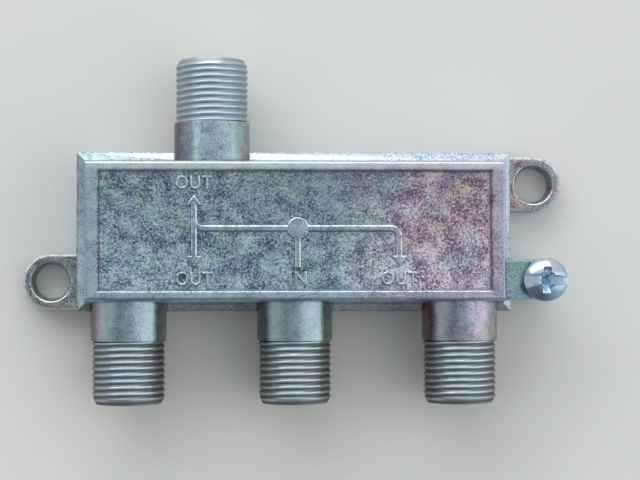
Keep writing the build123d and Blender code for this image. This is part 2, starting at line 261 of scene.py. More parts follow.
class Shader(Nodes):
    """Nodes of one material, with the helpers that the finishes share."""

    def __init__(self, name: str) -> None:
        """Makes the material with a Principled BSDF and object coordinates in millimetres."""
        self.material = bpy.data.materials.new(name)
        self.material.use_nodes = True
        super().__init__(self.material.node_tree)
        self.place = self.get("ShaderNodeMapping", "Vector", Scale=(1 / MM, 1 / MM, 1 / MM),
                              Vector=self.get("ShaderNodeTexCoord", "Object"))
        self.x, self.y, self.z = self.parts(self.place)

    def noise(self, scale: float, detail: float = 3.0, roughness: float = 0.55,
              offset: tuple[float, float, float] = (0, 0, 0),
              stretch: tuple[float, float, float] = (1, 1, 1)) -> Flow:
        """Noise in object space.

        Args:
            scale: waves per millimetre.
            detail: octaves.
            roughness: share that each finer octave keeps.
            offset: shift in millimetres, to get another pattern.
            stretch: scale along each axis.

        Returns:
            Its factor, about 0.5 in the middle.
        """
        place = self.get("ShaderNodeMapping", "Vector", Vector=self.place, Location=offset,
                         Scale=stretch)
        return self.get("ShaderNodeTexNoise", "Fac", Vector=place, Scale=scale, Detail=detail,
                        Roughness=roughness)

    def drift(self, low: float, high: float, *pattern: object, **placed: object) -> Flow:
        """Noise with the same arguments as noise has, spread from a low to a high value."""
        return self.span(self.noise(*pattern, **placed), 0.3, 0.7, low, high)

    def grains(self, scale: float) -> Flow:
        """Random number from 0 to 1 for each crystal grain, at scale grains per millimetre."""
        cell = self.get("ShaderNodeTexVoronoi", "Color", Vector=self.place, Scale=scale)
        return self.get("ShaderNodeSeparateColor", "Red", Color=cell)

    def ramp(self, factor: Flow, *stops: Stop) -> Flow:
        """Colour ramp over a factor.

        Args:
            factor: from 0 to 1.
            stops: positions with their linear colours.

        Returns:
            The colour.
        """
        node = self.add("ShaderNodeValToRGB", Fac=factor)
        elements = node.color_ramp.elements
        while len(elements) < len(stops):
            elements.new(0.5)
        for element, (position, colour) in zip(elements, stops):
            element.position = position
            element.color = (*colour, 1)
        return Flow(self, node.outputs["Color"])

    def mix(self, share: Value, first: Flow | Colour, second: Flow | Colour,
            blend: str = "MIX") -> Flow:
        """Mixes two colours.

        Args:
            share: share of the second colour, from 0 to 1.
            first: the colour below.
            second: the colour on it.
            blend: how the second colour acts on the first.

        Returns:
            The mixed colour.
        """
        node = self.add("ShaderNodeMix", {"data_type": "RGBA", "blend_type": blend})
        inputs = [socket for socket in node.inputs if socket.enabled]
        for socket, value in zip(inputs, (share, first, second)):
            self.fill(socket, value)
        return Flow(self, next(socket for socket in node.outputs if socket.enabled))

    def tinted(self, share: Value, colour: Flow, tint: Flow | Colour) -> Flow:
        """Multiplies a share of a colour by a tint."""
        return self.mix(share, colour, tint, "MULTIPLY")

    def chosen(self, share: Value, yes: Value, no: Value) -> Flow:
        """Mixes two numbers by a share from 0 to 1."""
        return self.get("ShaderNodeMix", 0, {"data_type": "FLOAT"}, Factor=share, A=no, B=yes)

    def attribute(self, name: str) -> Flow:
        """Value of a named attribute of the mesh."""
        return self.get("ShaderNodeAttribute", "Fac", {"attribute_name": name})

    def edges(self, radius: float) -> tuple[Flow, Flow]:
        """Edges of a piece.

        Args:
            radius: how far they reach, in metres.

        Returns:
            1 along the edges and 0 elsewhere, and the direction that each edge faces.
        """
        soft = self.get("ShaderNodeBevel", "Normal", {"samples": 4}, Radius=radius)
        same = self.dot(soft, self.get("ShaderNodeNewGeometry", "Normal"))
        return self.span(same, 0.97, 0.80), soft

    def crevices(self, reach: float) -> Flow:
        """1 deep in corners and recesses and 0 in the open, over a reach in metres."""
        open_sky = self.get("ShaderNodeAmbientOcclusion", "AO",
                            {"samples": 4, "only_local": True}, Distance=reach)
        return self.span(open_sky, 0.94, 0.55)

    def bump(self, height: Flow, strength: float, depth: float) -> Flow:
        """Bump of a depth in metres."""
        return self.get("ShaderNodeBump", "Normal", Height=height, Strength=strength,
                        Distance=depth)

    def dress(self, **inputs: object) -> bpy.types.Material:
        """Sets or links inputs of the surface shader and returns the material."""
        surface = self.tree.nodes["Principled BSDF"]
        for name, value in inputs.items():
            self.fill(surface.inputs[name.replace("_", " ")], value)
        return self.material


@dataclass(frozen=True)
class CastZinc:
    """Plated die-cast zinc: etched grain on the panel, smoother skin elsewhere, faint colours.

    Places on the casting are in millimetres in the object's own frame.
    """

    fleck: Colour = (0.034, 0.052, 0.098)
    middle: Colour = (0.196, 0.250, 0.322)
    bright: Colour = (0.52, 0.62, 0.665)
    pink_fleck: Colour = (0.125, 0.056, 0.130)
    pink_middle: Colour = (0.375, 0.300, 0.365)
    pink_bright: Colour = (0.90, 0.91, 0.89)
    skin_low: Colour = (0.37, 0.46, 0.54)
    skin_high: Colour = (0.58, 0.68, 0.73)
    pit: Colour = (0.18, 0.24, 0.31)
    stain: Colour = (0.085, 0.060, 0.105)
    grime: Colour = (0.60, 0.44, 0.38)
    blush: Colour = (1.0, 0.86, 0.86)
    ear: Colour = (1.06, 0.82, 0.68)
    lug: Colour = (0.56, 0.70, 0.62)
    lug_low: Colour = (0.54, 0.58, 0.72)
    upper_collar: Colour = (0.80, 0.79, 0.84)
    # Light edge colour, for real wear and for painted highlights
    edge: Colour = (0.84, 0.94, 0.97)
    edge_shaded: Colour = (0.24, 0.31, 0.50)
    rim_blue: Colour = (0.31, 0.42, 0.66)
    collar_stops: tuple[Stop, ...] = (
        (0.05, (0.48, 0.36, 0.34)), (0.15, (0.98, 0.78, 0.82)), (0.27, (0.86, 1.0, 0.86)),
        (0.40, (0.98, 0.98, 0.96)), (0.60, (1.0, 0.97, 0.97)), (0.72, (1.0, 0.90, 0.94)),
        (0.86, (0.90, 1.0, 0.84)), (0.97, (0.80, 0.62, 0.54)))
    plating_stops: tuple[Stop, ...] = (
        (0.27, (0.80, 1.0, 0.80)), (0.37, (0.86, 1.0, 0.95)), (0.44, (0.84, 0.95, 1.0)),
        (0.53, (0.88, 0.86, 1.0)), (0.61, (1.0, 0.76, 0.92)), (0.70, (1.0, 0.64, 0.77)),
        (0.80, (1.0, 0.82, 0.62)))
    rim_edge: tuple[float, float] = (26.3, 8.65)
    shoulder_top: float = 7.0
    port_spacing: float = 21.2
    collar_radius: float = 4.83
    pink_from: float = 3.0
    pink_to: float = 15.0
    lug_from: float = 26.6
    lug_to: float = 30.1
    zone_reach: float = 0.03
    fleck_low: float = 0.39
    fleck_high: float = 0.61
    fleck_end: float = 0.42
    tighter_on_ear: float = 0.03
    tighter_in_pink: float = 0.035
    grain_step: Span = (0.0, 1.0, -0.03, 0.03)
    haze: Span = (-1.0, 7.0, 0.0, 0.15)
    pits_in_skin: float = 0.85
    pits_in_front: Span = (0.48, 0.28, 0.12, 0.95)
    clean_middle: Span = (9.0, 6.0, 0.0, 0.6)
    collar_left: Span = (0.1, 0.45, 1.0, 0.1)
    rim_upper: Span = (6.8, 8.4, 0.03, 0.55)
    lug_foot: Span = (-5.0, -8.0, 0.0, 1.0)
    flank_down: Span = (10.6, 8.4, 0.0, 1.0)
    flank_across: Span = (0.0, 0.6, 1.0, 0.4)
    lower_wall: Span = (-9.0, -9.6, 0.0, 0.35)
    glint: Span = (0.90, 0.93, 0.0, 1.0)
    glint_on: Span = (0.4, 0.8, 0.0, 0.8)
    edge_lit: Span = (0.0, 0.30, 0.0, 1.0)
    edge_handled: Span = (-0.1, 0.35, 0.3, 1.0)
    rub: Span = (0.40, 0.55, 0.12, 0.88)
    gloss: Span = (0.3, 0.7, 0.20, 0.32)
    gloss_lost: Span = (0.0, 1.0, 0.0, 0.14)
    relief_on: Span = (0.0, 1.0, 0.30, 1.0)
    metallic: Span = (0.0, 1.0, 0.88, 0.5)
    edge_reach: float = 0.20 * MM
    crevice_reach: float = 0.4 * MM
    relief: float = 0.035 * MM

    def material(self) -> bpy.types.Material:
        """Builds the material, its layers in the order in which they lie on the metal."""
        s = Shader("cast_zinc_plated")
        grain = s.attribute("grain")
        on_ear, on_collar, on_rim, on_lug, on_skin = (
            s.math("COMPARE", grain, zone.value, self.zone_reach)
            for zone in (Zone.EAR, Zone.COLLAR, Zone.RIM, Zone.LUG, Zone.SKIN))
        pinkness = self.pinkness(s)
        turned = self.round_port(s)
        worn = s.noise(1.1, 6, 0.66, (3, 7, 1))

        # Etched grain of the panel with a painted sheen towards its upper right, and the smoother
        # skin elsewhere with its pits and the collars' painted reflections
        mixed = s.noise(5.0, 3, 0.65) * 0.62 + s.noise(0.5, 5, 0.62, (9, 4, 2)) * 0.38
        mixed = mixed + s.span(s.grains(5.5), *self.grain_step)
        tighter = on_ear * self.tighter_on_ear + pinkness * self.tighter_in_pink
        flecks = s.span(mixed, tighter + self.fleck_low, self.fleck_high - tighter)
        grey = s.ramp(flecks, (0.0, self.fleck), (self.fleck_end, self.middle), (1.0, self.bright))
        pink = s.ramp(flecks, (0.0, self.pink_fleck), (self.fleck_end, self.pink_middle),
                      (1.0, self.pink_bright))
        # Painted sheen: the panel lighter towards its upper right, the side the light comes from
        haze = s.span(s.x * 0.6 + s.y, *self.haze)
        panel = s.mix(haze, s.mix(pinkness, grey, pink), self.bright)
        skin = s.ramp(worn * 0.5 + mixed * 0.5, (0.40, self.skin_low), (0.60, self.skin_high))
        # The collars' pits are real, but thicker at their fronts to paint the dark reflection there
        pitted = s.chosen(on_collar, s.span(abs(turned), *self.pits_in_front), self.pits_in_skin)
        pits = s.span(flecks, 0.0, self.fleck_end, 1.0, 0.0) * pitted
        clean_middle = on_collar * s.span(abs(s.x), *self.clean_middle)
        skin = s.mix(pits * (1.0 - clean_middle), skin, s.mix(on_collar, self.middle, self.pit))
        # Painted reflections of the surroundings across each collar
        skin = s.tinted(on_collar * 0.9, skin, self.collar_tint(s, turned))
        colour = s.mix(s.span(grain, Zone.SKIN.value, Zone.PANEL.value), skin, panel)

        # Tones by zone and place: a painted highlight on the rim's upper side, a warm tone on the
        # ears that is partly a painted floor reflection, and painted shade with a floor reflection
        # low on the collars and the lower wall
        upper_collar = on_collar * (s.y > 0.0) * s.span(turned, *self.collar_left)
        colour = s.tinted(upper_collar, colour, self.upper_collar)
        colour = s.tinted(on_rim * (pinkness * 0.8), colour, self.blush)
        # Painted highlight: the rim lighter towards its upper side, which faces the window
        colour = s.mix(on_rim * s.span(s.y, *self.rim_upper), colour, self.edge)
        # Warm tone of the ears: partly the metal's own, partly a painted reflection of a warm floor
        colour = s.tinted(on_ear, colour, self.ear)
        lug = s.mix(s.span(s.y, *self.lug_foot), self.lug, self.lug_low)
        colour = s.tinted(on_lug, colour, lug)
        # Painted shade with a brown reflection of a warm floor, low on the collars' sides and on
        # the lower wall, which turns from the window
        flank = on_collar * s.span(s.z, *self.flank_down) * s.span(turned, *self.flank_across)
        lower_wall = on_skin * s.span(s.y, *self.lower_wall)
        colour = s.tinted(s.math("MAXIMUM", flank, lower_wall), colour, self.grime)

        # Painted glints of single crystals, colours of the plating, and painted shade in crevices,
        # at the marks' feet and on the rim's inner sides
        glints = s.span(s.grains(6.5), *self.glint) * s.span(grain, *self.glint_on)
        colour = s.mix(glints, colour, self.bright)
        colour = s.tinted(self.tint_share(s, grain, on_collar), colour, self.tint(s))
        colour = s.mix(s.crevices(self.crevice_reach) * 0.9, colour, self.stain)
        # Painted shade at the feet of the raised marks, and half as much on the rim's inner sides
        # round the panel
        foot = s.span(grain, Zone.PANEL.value, Zone.FOOT.value, 0.0, 0.7)
        colour = s.mix(foot, colour, self.stain)
        # Painted shade in blue along the rim's outer edge, away from the window
        colour = s.mix(self.rim_band(s, grain), colour, self.rim_blue)

        # Edges: painted shade where they turn from the window, and a painted highlight over real
        # wear where they face it
        along, faces = s.edges(self.edge_reach)
        upward = s.parts(faces)[1]
        lit = s.span(upward, *self.edge_lit)
        shaded = along * (0.6 - lit * 0.6) * (s.z > self.shoulder_top)
        colour = s.mix(shaded, colour, self.edge_shaded)
        handled_lit = s.span(grain, 0.0, Zone.RUBBED.value) * s.span(upward, *self.edge_handled)
        # Rubbed edges: real wear, made brighter as a painted highlight where they face the window
        rubbed = s.math("MAXIMUM", along * lit, handled_lit) * s.span(worn, *self.rub)
        colour = s.mix(rubbed, colour, self.edge)

        height = mixed * s.span(grain, *self.relief_on)
        return s.dress(
            Base_Color=colour, Metallic=s.span(rubbed, *self.metallic),
            Roughness=s.span(worn, *self.gloss) + s.span(grain, *self.gloss_lost),
            Normal=s.bump(height, 0.5, self.relief))

    def rim_band(self, s: Shader, grain: Flow) -> Flow:
        """Share of the painted blue shade along the rim's outer edge, at its sides and lower side,
        which turn from the window.
        """
        across = abs(s.x) - self.rim_edge[0]
        below = s.y * -1.0 - self.rim_edge[1]
        reach = abs(s.math("MAXIMUM", across, below))
        high = s.span(s.z, 11.9, 12.5) * (grain < Zone.RIM.value + 0.05)
        drift = s.drift(0.25, 0.85, 0.7, 4, offset=(8, 8, 2))
        return s.span(reach, 0.5, 0.1) * high * drift

    def round_port(self, s: Shader) -> Flow:
        """Place across the nearest port, from -1 at its left side to 1 at its right side."""
        half = self.port_spacing / 2
        return s.math("WRAP", s.x + (s.y > 0.0) * half, half, -half) / self.collar_radius

    def collar_tint(self, s: Shader, across: Flow) -> Flow:
        """Painted reflections of the surroundings round a collar, over the plating's faint colours:
        brown flanks, mauve and green at the left, lilac at the right.
        """
        drift = s.drift(-0.16, 0.16, 0.5, 5, 0.65, (5, 9, 2))
        return s.ramp(s.span(across + drift, -1.0, 1.0), *self.collar_stops)

    def pinkness(self, s: Shader) -> Flow:
        """Share of the pink and brown discolouring: patches that close up towards the lug's end."""
        along = s.span(s.x, self.pink_from, self.pink_to, 0.0, 0.42)
        patches = s.noise(0.16, 6, 0.66, (7, 3, 6))
        return s.span(patches + along, 0.56, 0.92) * (s.x < self.lug_from)

    def tint(self, s: Shader) -> Flow:
        """Colours of the plating: grey-blue and green, pink to the lug's end, green on the lug."""
        pink = s.span(s.x, self.pink_from, self.pink_to, -0.08, 0.10)
        lug = s.span(s.y, 0.0, -2.0) * s.span(s.x, self.lug_from, self.lug_to, -0.34, -0.12)
        shift = pink + lug * (s.x > self.lug_from)
        patches = s.noise(0.22, 4, 0.62, (2, 5, 8))
        return s.ramp(s.math("CLAMP_ADD", patches, shift), *self.plating_stops)

    def tint_share(self, s: Shader, grain: Flow, on_collar: Flow) -> Flow:
        """How strongly the plating's colours show: most on the panel's grain."""
        patches = s.drift(0.35, 0.95, 0.9, 4, offset=(6, 1, 4))
        share = s.span(grain, 0.0, 1.0, 0.45, 1.0) + on_collar * 0.5
        return s.math("CLAMP_MULTIPLY", patches, share)


@dataclass(frozen=True)
class Thread:
    """Bare thread metal: rubbed crests over grey valleys, lighter and darker across its form as
    painted highlight and shade, and browner down its sides as painted shade with a floor
    reflection.

    Its places are in millimetres: clean_from along Y, side_from and side_to in height.
    """

    name: str
    crest: Colour = (0.57, 0.69, 0.785)
    flank: Colour = (0.27, 0.315, 0.355)
    valley: Colour = (0.20, 0.19, 0.19)
    # Brown of the painted shade and floor reflection down the thread's sides
    side: Colour = (0.44, 0.35, 0.30)
    tint_stops: tuple[Stop, ...] = (
        (0.35, (0.90, 1.0, 0.90)), (0.5, (0.92, 0.97, 1.0)), (0.66, (1.0, 0.90, 0.92)))
    tint_share: float = 0.6
    clean_from: float = 12.0
    clean_to: float = 13.5
    clean_share: float = 0.45
    side_from: float = 11.0
    side_to: float = 8.4
    gloss: Span = (0.2, 0.95, 0.48, 0.26)
    metallic: float = 0.75
    relief: float = 0.012 * MM

    def material(self) -> bpy.types.Material:
        """Builds the material."""
        s = Shader(self.name)
        smear = s.drift(-0.07, 0.07, 1.6, 5, 0.6, (1, 2, 3), (1, 0.6, 1))
        shown = s.math("CLAMP_ADD", s.attribute("crest"), smear)
        # Lighter crests and darker valleys: rubbed crests, with painted highlight and shade across
        # the thread's form
        metal = s.ramp(shown, (0.10, self.valley), (0.52, self.flank), (0.90, self.crest))
        tint = s.ramp(s.noise(0.35, 3, offset=(4, 4, 1)), *self.tint_stops)
        colour = s.tinted(self.tint_share, metal, tint)
        # Painted shade with a brown reflection of a warm floor, down the thread's sides
        colour = s.tinted(s.span(s.z, self.side_from, self.side_to), colour, self.side)
        # The thread lighter along the upper port, from clean_from outwards
        lighter = s.span(s.y, self.clean_from, self.clean_to, 0.0, self.clean_share)
        return s.dress(
            Base_Color=s.mix(lighter, colour, self.crest), Metallic=self.metallic,
            Roughness=s.span(shown, *self.gloss),
            Normal=s.bump(s.noise(6.0, 3, 0.6), 0.25, self.relief))


@dataclass(frozen=True)
class ScrewPlating:
    """Bright blue-lilac plating of the ground screw, with darker blue scuffs and painted shade down
    in its recesses.
    """

    cool: Colour = (0.34, 0.54, 0.72)
    warm: Colour = (0.62, 0.62, 0.76)
    recess: Colour = (0.24, 0.46, 0.60)
    edge: Colour = (0.86, 0.93, 0.97)
    scuff: Span = (0.55, 0.72, 0.0, 0.5)
    rub: Span = (0.38, 0.55, 0.2, 0.9)
    gloss: Span = (0.3, 0.7, 0.15, 0.27)
    crevice_reach: float = 1.2 * MM
    edge_reach: float = 0.10 * MM
    relief: float = 0.02 * MM

    def material(self) -> bpy.types.Material:
        """Builds the material."""
        s = Shader("screw_bright_plating")
        scuffs = s.noise(3.0, 5, 0.7, (1, 8, 3))
        colour = s.ramp(s.noise(0.45, 4, 0.55, (5, 2, 7)), (0.38, self.cool), (0.60, self.warm))
        colour = s.mix(s.span(scuffs, *self.scuff), colour, self.recess)
        # Painted shade down in the recesses
        colour = s.mix(s.crevices(self.crevice_reach) * 0.5, colour, self.recess)
        rubbed = s.edges(self.edge_reach)[0] * s.span(scuffs, *self.rub)
        return s.dress(Base_Color=s.mix(rubbed, colour, self.edge), Metallic=1.0,
                       Roughness=s.span(scuffs, *self.gloss),
                       Normal=s.bump(scuffs, 0.3, self.relief))


@dataclass(frozen=True)
class Finish:
    """General finish: two colours mixed by noise, with its own gloss and fine relief, and painted
    shade in its crevices.

    relief is a depth in millimetres, and relief_scale its waves per millimetre.
    """

    name: str
    first: Colour
    second: Colour
    metallic: float = 0.0
    roughness: tuple[float, float] = (0.35, 0.5)
    scale: float = 1.5
    stretch: tuple[float, float, float] = (1, 1, 1)
    relief: float = 0.02
    relief_scale: float = 6.0
    subsurface: float = 0.0
    coat: float = 0.0
    wear: float = 0.7
    edge_reach: float = 0.12 * MM
    crevice_reach: float = 0.5 * MM
    subsurface_reach: float = 0.5 * MM

    def material(self) -> bpy.types.Material:
        """Builds the material."""
        s = Shader(self.name)
        patches = s.noise(self.scale, 5, 0.6, stretch=self.stretch)
        marks = s.noise(self.scale * 2.3, 4, offset=(3, 1, 5), stretch=self.stretch)
        relief = s.noise(self.relief_scale, 4, 0.6, stretch=self.stretch)
        pale = tuple(min(1.0, 1.35 * c + 0.04) for c in self.second)
        hollow_shade = tuple(0.35 * c for c in self.first)
        colour = s.ramp(patches, (0.32, self.first), (0.68, self.second))
        rubbed = s.edges(self.edge_reach)[0] * s.span(marks, 0.4, 0.6, 0.1, self.wear)
        colour = s.mix(rubbed, colour, pale)
        # Painted shade in crevices
        colour = s.mix(s.crevices(self.crevice_reach) * 0.6, colour, hollow_shade)
        return s.dress(
            Base_Color=colour, Metallic=self.metallic,
            Roughness=s.span(marks, 0.3, 0.7, *self.roughness),
            Normal=s.bump(relief, 0.4, self.relief * MM), Coat_Weight=self.coat,
            Subsurface_Weight=self.subsurface, Subsurface_Scale=self.subsurface_reach)


@dataclass(frozen=True)
class Finishes:
    """Every finish of the splitter. Those of carried nodes go by a part of the nodes' names."""

    casting: CastZinc = CastZinc()
    port_thread: Thread = Thread("port_thread_metal")
    screw_thread: Thread = Thread("screw_thread_metal", flank=(0.5, 0.55, 0.62),
                                  valley=(0.2, 0.22, 0.25), side_from=-1.0, side_to=-2.0)
    screw: ScrewPlating = ScrewPlating()
    carried: tuple[tuple[str, Finish], ...] = (
        ("rear_cover", Finish("rear_cover_steel", (0.42, 0.43, 0.42), (0.56, 0.57, 0.56), 0.95,
                              (0.26, 0.40), 0.8, (0.25, 3.0, 1.0), 0.015, 8.0)),
        ("circuit_board", Finish("board_laminate", (0.30, 0.19, 0.07), (0.42, 0.29, 0.12), 0.0,
                                 (0.38, 0.52), 0.9)),
        ("insulator", Finish("insulator_ivory", (0.78, 0.76, 0.70), (0.86, 0.85, 0.80), 0.0,
                             (0.32, 0.45), 1.2, subsurface=0.15)),
        ("contact", Finish("contact_brass", (0.62, 0.47, 0.22), (0.78, 0.64, 0.36), 1.0,
                           (0.22, 0.34), 1.8, relief=0.008)),
        ("core", Finish("ferrite_black", (0.018, 0.018, 0.020), (0.045, 0.045, 0.050), 0.0,
                        (0.45, 0.62), 2.5, relief=0.03)),
        ("winding", Finish("enamelled_wire", (0.33, 0.09, 0.03), (0.50, 0.17, 0.06), 0.7,
                           (0.18, 0.30), 2.0, relief=0.004, coat=0.6)),
        ("resistor", Finish("resistor_lacquer", (0.58, 0.42, 0.24), (0.70, 0.54, 0.33), 0.0,
                            (0.30, 0.42), 2.0, relief=0.015)),
        ("capacitor", Finish("capacitor_dip", (0.48, 0.22, 0.06), (0.62, 0.32, 0.10), 0.0,
                             (0.25, 0.38), 1.5, coat=0.3)),
        ("solder", Finish("solder_tin", (0.55, 0.56, 0.57), (0.72, 0.73, 0.74), 1.0,
                          (0.20, 0.36), 2.5, relief=0.015)))


class Build:
    """Helpers that turn forms into finished pieces."""

    @staticmethod
    def piece(name: str, mesh: bpy.types.Mesh, *materials: bpy.types.Material) -> bpy.types.Object:
        """Links a mesh as an object at the origin with its materials."""
        mesh.name = name
        for material in materials:
            mesh.materials.append(material)
        piece = bpy.data.objects.new(name, mesh)
        bpy.context.scene.collection.objects.link(piece)
        return piece

    @staticmethod
    def path(name: str, points: list[Vector | tuple],
             edges: list[tuple[int, int]]) -> bpy.types.Object:
        """Links bare points and edges as an object, for a tree to run on."""
        mesh = bpy.data.meshes.new("seed")
        mesh.from_pydata([tuple(point) for point in points], edges, [])
        return Build.piece(name, mesh)

    @staticmethod
    def evaluated(piece: bpy.types.Object) -> bpy.types.Mesh:
        """A new mesh of a piece with its modifiers, or of a text."""
        bpy.context.view_layer.update()
        graph = bpy.context.evaluated_depsgraph_get()
        return bpy.data.meshes.new_from_object(piece.evaluated_get(graph), depsgraph=graph)

    @staticmethod
    def settled(piece: bpy.types.Object) -> bpy.types.Object:
        """Applies every modifier of a piece, so that a plain mesh is left."""
        mesh = Build.evaluated(piece)
        mesh.name = piece.name
        piece.modifiers.clear()
        piece.data = mesh
        return piece

    @staticmethod
    def joined(name: str, pieces: list[bpy.types.Object]) -> bpy.types.Object:
        """Joins mesh pieces into the first of them under a new name."""
        with bpy.context.temp_override(active_object=pieces[0], selected_editable_objects=pieces,
                                       object=pieces[0], selected_objects=pieces):
            bpy.ops.object.join()
        pieces[0].name = name
        pieces[0].data.name = name
        return pieces[0]

    @staticmethod
    def merged_copy(node: str) -> bmesh.types.BMesh:
        """Welded copy of a CAD node's mesh with its flat faces whole.

        Args:
            node: name of the CAD node.

        Returns:
            The mesh to work on.
        """
        bm = bmesh.new()
        bm.from_mesh(frame["nodes"][node].data)
        bmesh.ops.remove_doubles(bm, verts=bm.verts, dist=WELD)
        bmesh.ops.recalc_face_normals(bm, faces=bm.faces)
        bmesh.ops.dissolve_limit(bm, angle_limit=FLAT, verts=bm.verts, edges=bm.edges)
        return bm

    @staticmethod
    def section(bm: bmesh.types.BMesh, place: Vector, away: Vector,
                clear: bool = False) -> list[bmesh.types.BMEdge]:
        """Cuts a mesh along a plane.

        Args:
            bm: the mesh.
            place: a point of the plane.
            away: the direction that the plane faces.
            clear: whether what lies past the plane goes.

        Returns:
            The edges of the cut.
        """
        cut = bmesh.ops.bisect_plane(bm, geom=bm.verts[:] + bm.edges[:] + bm.faces[:],
                                     plane_co=place, plane_no=away, clear_outer=clear)
        return [e for e in cut["geom_cut"] if isinstance(e, bmesh.types.BMEdge)]

    @staticmethod
    def grained(piece: bpy.types.Object, zone: Callable[[bpy.types.MeshPolygon], Zone]) -> None:
        """Stores each face's kind of surface as its grain."""
        grain = piece.data.attributes.new("grain", "FLOAT", "FACE")
        grain.data.foreach_set("value", [zone(face).value for face in piece.data.polygons])

    @staticmethod
    def solid(name: str, rings: list[list[Vector]],
              material: bpy.types.Material) -> bpy.types.Object:
        """Closed solid through rings of points, with its first and last ring filled.

        Args:
            name: name of the piece.
            rings: rings with the same number of points each.
            material: its finish.

        Returns:
            The piece.
        """
        bm = bmesh.new()
        loops = [[bm.verts.new(point) for point in ring] for ring in rings]
        count = len(rings[0])
        for low, high in zip(loops, loops[1:]):
            for i in range(count):
                j = (i + 1) % count
                bm.faces.new((low[i], low[j], high[j], high[i]))
        bm.faces.new(loops[0])
        bm.faces.new(loops[-1])
        bmesh.ops.recalc_face_normals(bm, faces=bm.faces)
        mesh = bpy.data.meshes.new(name)
        bm.to_mesh(mesh)
        bm.free()
        return Build.piece(name, mesh, material)

    @staticmethod
    def soft_edges(piece: bpy.types.Object, width: float, degrees: float,
                   segments: int = 2) -> None:
        """Rounds every edge sharper than an angle and settles the piece."""
        bevel = piece.modifiers.new("soft_edges", "BEVEL")
        bevel.width = width
        bevel.segments = segments
        bevel.limit_method = "ANGLE"
        bevel.angle_limit = math.radians(degrees)
        bevel.use_clamp_overlap = True
        Build.settled(piece)

    @staticmethod
    def shade(piece: bpy.types.Object, degrees: float) -> None:
        """Smooth shading, with sharp edges kept past an angle."""
        mesh = piece.data
        mesh.polygons.foreach_set("use_smooth", [True] * len(mesh.polygons))
        mesh.set_sharp_from_angle(angle=math.radians(degrees))


class GeometryTree(Nodes):
    """A Geometry Nodes tree with named inputs that ends in Realize Instances and Set Material."""

    def __init__(self, name: str, sizes: dict[str, float]) -> None:
        """Makes the tree with its inputs.

        Args:
            name: name of the tree.
            sizes: its number inputs with their first values.
        """
        super().__init__(bpy.data.node_groups.new(name, "GeometryNodeTree"))
        face = self.tree.interface
        face.new_socket("Geometry", in_out="INPUT", socket_type="NodeSocketGeometry")
        for size, value in sizes.items():
            kind = "NodeSocketInt" if isinstance(value, int) else "NodeSocketFloat"
            face.new_socket(size, in_out="INPUT", socket_type=kind).default_value = value
        face.new_socket("Material", in_out="INPUT", socket_type="NodeSocketMaterial")
        face.new_socket("Geometry", in_out="OUTPUT", socket_type="NodeSocketGeometry")
        outputs = self.add("NodeGroupInput").outputs
        self.given = {output.name: Flow(self, output) for output in outputs if output.name}
        self.position = self.get("GeometryNodeInputPosition", 0)

    def moved(self, geometry: Flow, place: Flow) -> Flow:
        """Geometry with each of its points moved to a place."""
        return self.get("GeometryNodeSetPosition", 0, Geometry=geometry, Position=place)

    def curve(self) -> Flow:
        """The edges that go in, as curves."""
        return self.get("GeometryNodeMeshToCurve", 0, Mesh=self.given["Geometry"])

    def swept(self, curve: Flow, sides: int, radius: Value, scale: Value = 1.0) -> Flow:
        """Sweeps a regular profile with closed ends along a curve."""
        profile = self.get("GeometryNodeCurvePrimitiveCircle", 0, {"mode": "RADIUS"},
                           Resolution=sides, Radius=radius)
        return self.get("GeometryNodeCurveToMesh", 0, Curve=curve, Profile_Curve=profile,
                        Scale=scale, Fill_Caps=True)

    def finish(self, geometry: Flow) -> None:
        """Ends the tree with real geometry in the given material."""
        real = self.get("GeometryNodeRealizeInstances", 0, Geometry=geometry)
        dressed = self.get("GeometryNodeSetMaterial", 0, Geometry=real,
                           Material=self.given["Material"])
        self.add("NodeGroupOutput", Geometry=dressed)

    def run(self, piece: bpy.types.Object, material: bpy.types.Material, **sizes: float) -> None:
        """Runs the tree on a piece and leaves a plain mesh.

        Args:
            piece: the object whose geometry goes in.
            material: the finish of the result.
            sizes: values of the tree's named inputs, with _ for a space.
        """
        modifier = piece.modifiers.new(self.tree.name, "NODES")
        modifier.node_group = self.tree
        values = {**{name.replace("_", " "): size for name, size in sizes.items()},
                  "Material": material}
        for item in self.tree.interface.items_tree:
            if item.in_out == "INPUT" and item.name in values:
                modifier[item.identifier] = values[item.name]
        Build.settled(piece)
        if not piece.data.materials:
            piece.data.materials.append(material)


